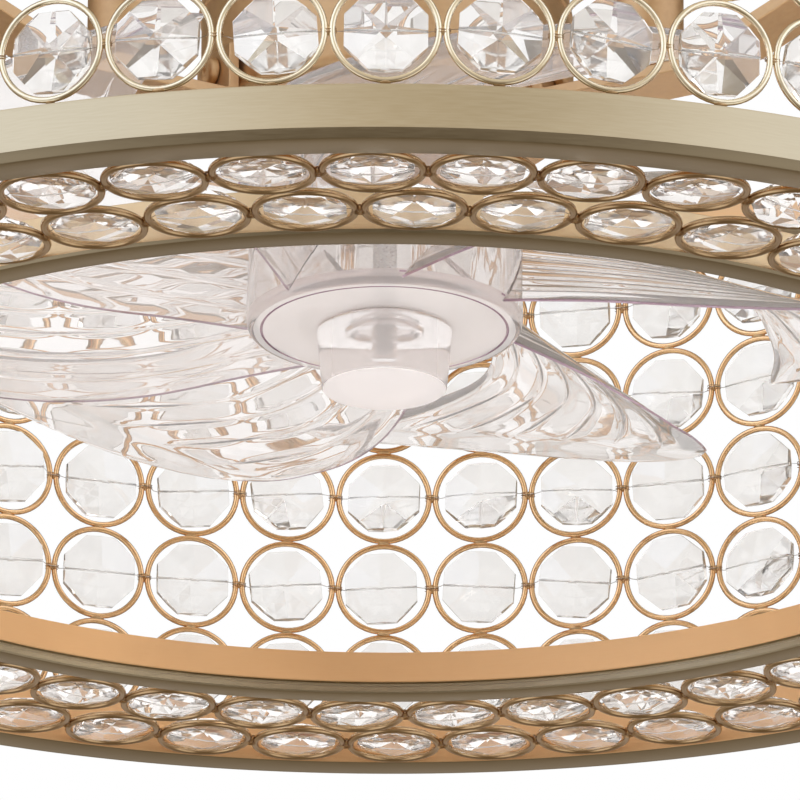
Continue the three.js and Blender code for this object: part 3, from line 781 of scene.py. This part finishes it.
def threaded(r, depth, pitch, z0, z1, sides=28, x=0.0, y=0.0, lead=1.0):
    """Screw thread with a true helix, closed at both ends."""
    n = int((z1 - z0) / pitch * 6)
    zs = np.linspace(z0, z1, n + 1)
    v, f = [], []
    for i, z in enumerate(zs):
        fade = min(1, (z - z0) / lead, (z1 - z) / lead)
        for k in range(sides):
            a = k * 2 * math.pi / sides
            h = (z / pitch - k / sides) % 1.0
            ridge = 1 - abs(2 * h - 1)
            rr = r - depth + depth * max(0, min(1, ridge * 1.5 - 0.25)) * max(fade, 0) - 0.35 * (1 - max(fade, 0)) * depth
            v.append((x + rr * math.cos(a), y + rr * math.sin(a), z))
    for i in range(n):
        for k in range(sides):
            l = (k + 1) % sides
            f.append([i * sides + k, i * sides + l, (i + 1) * sides + l, (i + 1) * sides + k])
    f.append([k for k in range(sides)][::-1])
    f.append([n * sides + k for k in range(sides)])
    return np.array(v), f


b = Build()
b.add(threaded(2.42, 0.32, 0.8, 36.0, 49.8))
b.add(lathe([(0, 49.9), (2.9, 49.9), (3.2, 50.2), (3.2, 155.9), (2.8, 156.4), (0, 156.4)], 32))
place("shaft", b.mesh("shaft"), [STEEL], body="rotor", nodes=["motor_shaft"], angle=40)
place("washer", Build().add(lathe(fillet([(2.75, 47.9), (5.8, 47.9), (5.8, 49.6), (2.75, 49.6)], [0.2] * 4, 3), 48)).mesh("washer"), [DARKSTEEL], body="rotor", nodes=["drive_washer"])

# ------------------------------------------------------------------ motor, arms, cups, lamps
shell = lathe(fillet([(11.4, 100), (49.5, 100), (49.5, 135), (47.7, 135), (47.7, 101.9), (13.4, 101.9), (13.4, 110.5), (11.4, 110.5)], [0.3, 3.2, 0.5, 0.3, 1.2, 0.4, 0.3, 0.3], 6), 128)
b = Build().add(shell)
# raised seam bead round the shell
b.add(lathe([(49.2, 131.0), (50.1, 131.4), (50.3, 132.2), (50.1, 133.0), (49.2, 133.4)], 128))
place("motor_can", b.mesh("motor_can"), [GOLD], nodes=["motor_shell"], angle=40)
cover = lathe(fillet([(6.5, 160), (6.5, 158.2), (11.4, 158.2), (11.4, 146), (13.4, 146), (13.4, 158.2), (41, 158.2), (47.7, 149.4), (47.7, 135.3), (49.5, 135.3), (49.5, 150), (42, 160)],
                     [0.2, 0, 0.2, 0.3, 0.3, 0.2, 1.5, 2, 0.2, 0.3, 3, 3], 5), 128)
place("motor_cap", Build().add(cover).mesh("motor_cap"), [GOLD], nodes=["motor_cover"], angle=40)

FOOT = 96.0
for k, az in enumerate((-30, 90, 210)):
    a = az * DEG
    rows = np.array([[math.cos(a), math.sin(a), 0], [-math.sin(a), math.cos(a), 0], [0, 0, 1.0]])
    prof = [(49.9, FOOT), (94, FOOT), (97, FOOT + 0.7), (231.6, 152.0), (236.9, 152.0), (236.9, 165.0), (233.9, 165.0), (233.9, 155.4), (230.6, 155.2), (95.8, FOOT + 3.8), (93.2, FOOT + 3), (52.9, FOOT + 3), (52.9, FOOT + 16), (49.9, FOOT + 16)]
    rad = [0.8, 3, 3, 0.6, 0.8, 0.5, 0.5, 0.8, 0.6, 3, 3, 1.0, 0.8, 0.8]
    loop = fillet(prof, rad, 3)
    n = len(loop)
    v, f = [], []
    # the bar's long edges are slightly rounded
    c = np.mean(np.array(loop), 0)
    for y, inset in ((-9.0, 0.35), (-8.65, 0.0), (8.65, 0.0), (9.0, 0.35)):
        pts = np.array(loop)
        if inset:
            nx = np.roll(pts, -1, 0) - np.roll(pts, 1, 0)
            nn = np.stack([nx[:, 1], -nx[:, 0]], 1)
            ln = np.linalg.norm(nn, axis=1)
            nn = nn / np.where(ln < 1e-6, 1, ln)[:, None]
            pts = pts - nn * inset * 0.7
        v += [(p[0], y, p[1]) for p in pts]
    for j in range(3):
        for i in range(n):
            l = (i + 1) % n
            f.append([j * n + i, j * n + l, (j + 1) * n + l, (j + 1) * n + i])
    f.append(list(range(n))[::-1])
    f.append([3 * n + i for i in range(n)])
    o, bad = closed_object("arm_tmp", (np.array(v), f), 0.001)
    hv, hf = lathe([(0, -4), (2.3, -4), (2.3, 4), (0, 4)], 20)
    hv = hv[:, [2, 1, 0]] * np.array([1, 1, -1]) + np.array([51.4, 0, FOOT + 10])
    h = loose("arm_hole", (hv, hf))
    me = boolean(o, [h], "DIFFERENCE")
    mv, mf = arrays(me)
    bpy.data.meshes.remove(me)
    b = Build().add((mv @ rows, mf))
    place(f"arm_{k + 1}", b.mesh("arm"), [GOLD], nodes=[f"cage_arm_{k + 1}"], angle=30)
    # pan head screw with a round recess in the head
    pv, pf = lathe([(0, 0.75), (0.9, 0.55), (1.3, 0.12), (2.2, 0.1), (3.4, 0.7), (4, 1.6), (4, 2.4), (2, 2.4), (2, 8.4), (0, 8.4)], 36)
    pv = np.stack([-pv[:, 2], pv[:, 1], pv[:, 0]], 1) + np.array([55.6, 0, FOOT + 10])
    place(f"arm_screw_{k + 1}", Build().add((pv @ rows, [q[::-1] for q in pf])).mesh("arm_screw"), [GOLD], nodes=[f"arm_bolt_{k + 1}"], angle=40)
    # lamp cup with a rolled foot and lip
    cup = fillet([(0, FOOT + 3.3), (9.0, FOOT + 3.3), (10.2, FOOT + 4.6), (9.7, FOOT + 6.4), (9.7, FOOT + 26.6), (10.2, FOOT + 28), (10.0, FOOT + 29), (6.4, FOOT + 29), (6.4, FOOT + 12), (0, FOOT + 12)],
                 [0, 0.8, 0.7, 0.6, 0.6, 0.5, 0.4, 0.4, 0.3, 0], 4)
    cup[0], cup[-1] = (0, FOOT + 3.3), (0, FOOT + 12)
    cv, cf = lathe(cup, 56)
    place(f"cup_{k + 1}", Build().add(((cv + np.array([80, 0, 0])) @ rows, cf)).mesh("cup"), [GOLD], nodes=[f"lamp_cup_{k + 1}"], angle=40)
    # capsule lamp: ceramic foot, clear shell with a wall and a body inside
    b = Build()
    foot = lathe(fillet([(0.01, FOOT + 12.3), (6, FOOT + 12.3), (6, FOOT + 29.4), (7.4, FOOT + 31.4), (7.4, FOOT + 33), (0.01, FOOT + 33)], [0, 0.5, 0.3, 0.3, 0.4, 0], 3), 40)
    b.add((foot[0] + np.array([80, 0, 0]), foot[1]), 2)
    caps = [(0, FOOT + 33.3), (8.0, FOOT + 33.3), (8.4, FOOT + 33.8), (8.4, FOOT + 60)]
    caps += [(8.4 * math.cos(w * DEG), FOOT + 60 + 9.6 * math.sin(w * DEG)) for w in (12, 24, 36, 48, 60, 72, 82)] + [(0, FOOT + 69.8)]
    caps2 = [(0, FOOT + 68.6)] + [(7.4 * math.cos(w * DEG), FOOT + 60 + 8.5 * math.sin(w * DEG)) for w in (82, 72, 60, 48, 36, 24, 12)] + [(7.4, FOOT + 60), (7.4, FOOT + 34.6), (0, FOOT + 34.6)]
    s1, s2 = lathe(caps, 40), lathe(caps2, 40)
    b.add((s1[0] + np.array([80, 0, 0]), s1[1]), 0)
    b.add((s2[0] + np.array([80, 0, 0]), [q[::-1] for q in s2[1]]), 0)
    core = lathe(fillet([(0.01, FOOT + 35), (4.4, FOOT + 35), (4.4, FOOT + 60), (0.01, FOOT + 60)], [0, 1.2, 1.6, 0], 4), 32)
    b.add((core[0] + np.array([80, 0, 0]), core[1]), 1)
    bb = Build()
    for vv in b.v:
        bb.v.append(vv @ rows)
    bb.f, bb.m, bb.n = b.f, b.m, b.n
    place(f"lamp_capsule_{k + 1}", bb.mesh("lamp_capsule"), [BULB, FILAMENT, PLASTIC], nodes=[f"lamp_{k + 1}"], angle=40)

# ------------------------------------------------------------------ ceiling side
stem = fillet([(5, 160.3), (24, 160.3), (24, 163.3), (8, 163.3), (8, 234), (16, 234), (16, 237.2), (5, 237.2)], [0.3, 0.6, 0.6, 2.0, 1.5, 0.6, 0.6, 0.3], 4)
place("stem", Build().add(lathe(stem, 64)).mesh("stem"), [STEEL], nodes=["hanger_stem"], angle=40)
can = fillet([(8.6, 195), (66, 195), (75, 203), (75, 239.8), (73.4, 239.8), (73.4, 203.8), (65.4, 196.6), (8.6, 196.6)], [0.4, 8, 8, 0.4, 0.3, 7, 7, 0.3], 8)
o, bad = closed_object("canopy_tmp", lathe(can, 144), 0.001)
cuts = []
for x in (-35, 35):
    hv, hf = lathe([(0, 190), (2.6, 190), (2.6, 200), (0, 200)], 24)
    cuts.append(loose("canopy_hole", (hv + np.array([x, 0, 0]), hf)))
place("canopy_cover", boolean(o, cuts, "DIFFERENCE"), [CHAMPAGNE], nodes=["canopy"], angle=40)

for k, x in enumerate((-35, 35)):
    place(f"stud_{k + 1}", Build().add(threaded(2.0, 0.26, 0.7, 189.0, 239.6, 18, x)).mesh("stud"), [STEEL], nodes=[f"canopy_stud_{k + 1}"], angle=40)
    # knurled thimble nut
    v, f = lathe(fillet([(0, 184), (2.6, 184.4), (5.3, 187.6), (6, 189), (6, 193.6), (5.2, 194.7), (2.35, 194.7), (2.35, 188.6), (0, 188.6)], [0, 1.2, 1.0, 0.4, 0.3, 0.3, 0.2, 0.2, 0], 3), 72)
    rr = np.linalg.norm(v[:, :2], axis=1)
    ridge = np.where((rr > 5.7) & (v[:, 2] > 188.6) & (v[:, 2] < 194.2), 0.97 + 0.03 * (np.arange(len(v)) % 3 != 0), 1.0)
    v[:, :2] *= ridge[:, None]
    place(f"thimble_{k + 1}", Build().add((v + np.array([x, 0, 0]), f)).mesh("thimble"), [CHAMPAGNE], nodes=[f"canopy_nut_{k + 1}"], angle=30)


def slab(outline, z0, z1, edge=0.3, holes=()):
    """Flat plate with softened edges from a convex outline, then holes cut through."""
    pts = np.array(outline, float)
    n = len(pts)
    nx = np.roll(pts, -1, 0) - np.roll(pts, 1, 0)
    nn = np.stack([nx[:, 1], -nx[:, 0]], 1)
    nn /= np.linalg.norm(nn, axis=1)[:, None]
    v, f = [], []
    for z, i in ((z0, edge), (z0 + edge, 0), (z1 - edge, 0), (z1, edge)):
        v += [(*(p - m * i), z) for p, m in zip(pts, nn)]
    for j in range(3):
        for i in range(n):
            l = (i + 1) % n
            f.append([j * n + i, j * n + l, (j + 1) * n + l, (j + 1) * n + i])
    f += [list(range(n))[::-1], [3 * n + i for i in range(n)]]
    o, bad = closed_object("slab_tmp", (np.array(v), f), 0.001)
    if not holes:
        me = o.data.copy()
        bpy.data.objects.remove(o)
        return me
    return boolean(o, [loose("hole_tmp", h) for h in holes], "DIFFERENCE")


def rounded_rect(x0, x1, y0, y1, r, steps=6):
    out = []
    for cx, cy, a0 in ((x1 - r, y0 + r, -90), (x1 - r, y1 - r, 0), (x0 + r, y1 - r, 90), (x0 + r, y0 + r, 180)):
        out += [(cx + r * math.cos((a0 + 90 * i / steps) * DEG), cy + r * math.sin((a0 + 90 * i / steps) * DEG)) for i in range(steps + 1)]
    return out


def prism(outline, z0, z1):
    n = len(outline)
    v = [(*p, z) for z in (z0, z1) for p in outline]
    f = [[i, (i + 1) % n, n + (i + 1) % n, n + i] for i in range(n)]
    f += [list(range(n))[::-1], [n + i for i in range(n)]]
    return np.array(v, float), f


holes = []
for x, r in ((-23, 3.6), (23, 3.6), (-35, 2.4), (35, 2.4)):
    hv, hf = lathe([(0, 230), (r, 230), (r, 245), (0, 245)], 28)
    holes.append((hv + np.array([x, 0, 0]), hf))
for x in (-48, 48):
    holes.append(prism(rounded_rect(x - 2.4, x + 2.4, -7, 7, 2.3, 5), 230, 245))
place("bracket", slab(rounded_rect(-55, 55, -13, 13, 3.5), 237.5, 240.0, 0.25, holes), [STEEL], nodes=["ceiling_bracket"], angle=35)

me = slab(rounded_rect(-25, 25, 22, 50, 2.5), 197.0, 216.0, 0.8)
v, f = arrays(me)
b = Build().add((v, f))
groove = prism(rounded_rect(-25.15, 25.15, 21.85, 50.15, 2.6), 205.6, 206.5)
b.add(groove, 1)
place("receiver", b.mesh("receiver"), [PLASTIC, PLASTIC], nodes=["receiver_box"], angle=35)
b = Build()
me = slab(rounded_rect(-12, 12, -44, -30, 1.0), 197.0, 205.0, 0.4)
b.add(arrays(me))
for x in (-7.6, 0, 7.6):
    me = slab(rounded_rect(x - 3.2, x + 3.2, -42.5, -31.5, 1.4), 204.6, 208.0, 0.5)
    b.add(arrays(me))
    for y in (-39.6, -34.4):
        sv, sf = lathe([(0, 207.6), (1.0, 207.6), (1.5, 208.1), (0.0, 208.1)], 20)
        b.add((sv + np.array([x, y, 0]), sf), 1)
place("terminals", b.mesh("terminals"), [PLASTIC, BRASS], nodes=["terminal_block"], angle=35)

# sealed inner parts keep their shape and get a finish
for node, mat in (("stator_core", DARKSTEEL), ("stator_winding", COPPER), ("lower_bearing", STEEL), ("upper_bearing", STEEL), ("motor_rotor", DARKSTEEL)):
    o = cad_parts[node]
    if not o.data.materials:
        o.data.materials.append(mat)
    for s in o.material_slots:
        s.link = "OBJECT"
        s.material = mat

# ------------------------------------------------------------------ light, floor, camera
world = bpy.data.worlds.new("studio")
scene.world = world
world.use_nodes = True
nt = world.node_tree
for n in list(nt.nodes):
    nt.nodes.remove(n)
wout = nt.nodes.new("ShaderNodeOutputWorld")
bg = nt.nodes.new("ShaderNodeBackground")
nt.links.new(bg.outputs[0], wout.inputs[0])
tc = nt.nodes.new("ShaderNodeTexCoord")
sep = nt.nodes.new("ShaderNodeSeparateXYZ")
nt.links.new(tc.outputs["Generated"], sep.inputs[0])


def math_node(op, a, b=None):
    n = nt.nodes.new("ShaderNodeMath")
    n.operation = op
    for s, x in zip(n.inputs, (a, b)):
        if x is None:
            continue
        if isinstance(x, (int, float)):
            s.default_value = x
        else:
            nt.links.new(x, s)
    return n.outputs[0]


def smooth(value, lo, hi, a, b):
    r = nt.nodes.new("ShaderNodeMapRange")
    r.interpolation_type = "SMOOTHSTEP"
    for k, x in zip(("From Min", "From Max", "To Min", "To Max"), (lo, hi, a, b)):
        r.inputs[k].default_value = x
    nt.links.new(value, r.inputs["Value"])
    return r.outputs["Result"]


def softbox(az, el, inner, outer, power):
    d = nt.nodes.new("ShaderNodeVectorMath")
    d.operation = "DOT_PRODUCT"
    nt.links.new(tc.outputs["Generated"], d.inputs[0])
    d.inputs[1].default_value = (math.cos(az * DEG) * math.cos(el * DEG), math.sin(az * DEG) * math.cos(el * DEG), math.sin(el * DEG))
    return smooth(d.outputs["Value"], math.cos(outer * DEG), math.cos(inner * DEG), 0.0, power)


level_up = math_node("ADD", smooth(sep.outputs["Z"], -0.80, -0.10, 0.17, 0.46), smooth(sep.outputs["Z"], -0.10, 0.30, 0.0, 0.18))
behind = math_node("MULTIPLY", smooth(sep.outputs["Y"], 0.0, 0.6, 0.0, 0.72), smooth(sep.outputs["Z"], -0.25, 0.02, 0.0, 1.0))
studio = math_node("MULTIPLY", level_up, math_node("SUBTRACT", 1.0, behind))
for box in ((-140, 25, 10, 44, 0.85), (-25, 25, 10, 44, 0.76), (-160, -45, 17, 30, 0.8), (-20, -45, 17, 30, 0.7)):
    studio = math_node("ADD", studio, softbox(*box))
# what is seen through the glass: white all round, a little greyer towards the floor and behind the viewer
through = smooth(sep.outputs["Z"], -0.75, -0.10, 1.0, 1.10)
through = math_node("SUBTRACT", through, softbox(-90, 10, 10, 50, 0.10))
# a little brighter to the sides and overhead than straight behind the drum
through = math_node("ADD", through, 0.33)
through = math_node("SUBTRACT", through, softbox(90, 20, 22, 60, 0.33))
lp = nt.nodes.new("ShaderNodeLightPath")
# dim parts of the room are warm, bright ones are cool
tint = nt.nodes.new("ShaderNodeValToRGB")
el = tint.color_ramp.elements
for p, c in ((0.5, (0.80, 0.80, 0.816)), (0.75, (0.72, 0.80, 0.976))):
    el.new(p).color = (*c, 1)
el[0].position, el[0].color = 0.08, (1.0, 0.80, 0.544, 1)
el[-1].position, el[-1].color = 0.95, (0.72, 0.80, 0.976, 1)
for p, c in ((0.20, (0.88, 0.80, 0.744)), (0.32, (0.872, 0.80, 0.70))):
    el.new(p).color = (*c, 1)
nt.links.new(math_node("MULTIPLY", studio, 0.5), tint.inputs["Fac"])


def blend(fac, a, b, kind="RGBA"):
    n = nt.nodes.new("ShaderNodeMix")
    n.data_type = kind
    i, j = (6, 7) if kind == "RGBA" else (2, 3)
    nt.links.new(fac, n.inputs[0])
    for k, x in ((i, a), (j, b)):
        if isinstance(x, (int, float)):
            n.inputs[k].default_value = x
        elif isinstance(x, tuple):
            n.inputs[k].default_value = (*x, 1)
        else:
            nt.links.new(x, n.inputs[k])
    return n.outputs[2] if kind == "RGBA" else n.outputs[0]


level = blend(lp.outputs["Is Transmission Ray"], math_node("MULTIPLY", studio, 1.25), through, "FLOAT")
level = blend(lp.outputs["Is Diffuse Ray"], level, 1.5, "FLOAT")
level = blend(lp.outputs["Is Camera Ray"], level, 1.0, "FLOAT")
nt.links.new(level, bg.inputs["Strength"])
shade_col = blend(lp.outputs["Is Transmission Ray"], tint.outputs["Color"], (1.0, 1.0, 1.0))
shade_col = blend(lp.outputs["Is Diffuse Ray"], shade_col, (1.0, 1.0, 1.0))
shade_col = blend(lp.outputs["Is Camera Ray"], shade_col, (1.0, 1.0, 1.0))
nt.links.new(shade_col, bg.inputs["Color"])

# pale round floor, 2.5 m under the ceiling
me = bpy.data.meshes.new("floor")
n = 96
vs = [(1.9 * math.cos(k * 2 * math.pi / n), 1.9 * math.sin(k * 2 * math.pi / n), -2.5) for k in range(n)] + [(1.9 * math.cos(k * 2 * math.pi / n), 1.9 * math.sin(k * 2 * math.pi / n), -2.56) for k in range(n)]
me.from_pydata(vs, [], [list(range(n)), list(range(n, 2 * n))[::-1]] + [[k, n + k, n + (k + 1) % n, (k + 1) % n] for k in range(n)])
floor = bpy.data.objects.new("floor", me)
scene.collection.objects.link(floor)
FLOOR = plastic("floor_paint", (0.86, 0.86, 0.85), rough=0.7, grain=60, depth=0.0002)
me.materials.append(FLOOR)
floor.visible_glossy = False
floor.visible_transmission = False


def area(name, loc, target, size, power, color=(1, 1, 1)):
    l = bpy.data.lights.new(name, "AREA")
    l.shape = "DISK"
    l.size = size
    l.energy = power
    l.color = color
    o = bpy.data.objects.new(name, l)
    scene.collection.objects.link(o)
    o.location = loc
    o.visible_glossy = False
    o.rotation_euler = (Vector(target) - Vector(loc)).to_track_quat("-Z", "Y").to_euler()
    return o


area("soft_left", (-2.4, -2.2, -0.4), (0, 0, -0.2), 1.4, 8)
area("soft_right", (2.2, -1.8, 1.2), (0, 0, -0.1), 1.2, 10, (1.0, 0.95, 0.88))

cam_data = bpy.data.cameras.new("camera")
cam = bpy.data.objects.new("camera", cam_data)
scene.collection.objects.link(cam)
cam_data.sensor_width = 36.0
cam_data.lens = 10765.8 * 36.0 / 800.0
cam_data.shift_x = (400 - 384.30) / 800.0
cam_data.shift_y = (400.88 - 400) / 800.0
cam_data.clip_start, cam_data.clip_end = 0.05, 100.0
up_angle, roll = 20.10 * DEG, 0.20 * DEG
right = Vector((1, 0, 0))
fwd = Vector((0, math.cos(up_angle), math.sin(up_angle)))
up = right.cross(fwd)
r2 = right * math.cos(roll) + up * math.sin(roll)
u2 = up * math.cos(roll) - right * math.sin(roll)
cam.matrix_world = Matrix(((r2.x, u2.x, -fwd.x, 0.0), (r2.y, u2.y, -fwd.y, -2.6836), (r2.z, u2.z, -fwd.z, -1.1991), (0, 0, 0, 1)))
scene.camera = cam

scene.view_settings.view_transform = "Standard"
scene.view_settings.look = "None"
scene.cycles.max_bounces = 48
scene.cycles.transmission_bounces = 48
scene.cycles.glossy_bounces = 36
scene.cycles.diffuse_bounces = 3
scene.cycles.use_denoising = True
scene.cycles.sample_clamp_indirect = 6.0
scene.cycles.blur_glossy = 0.3
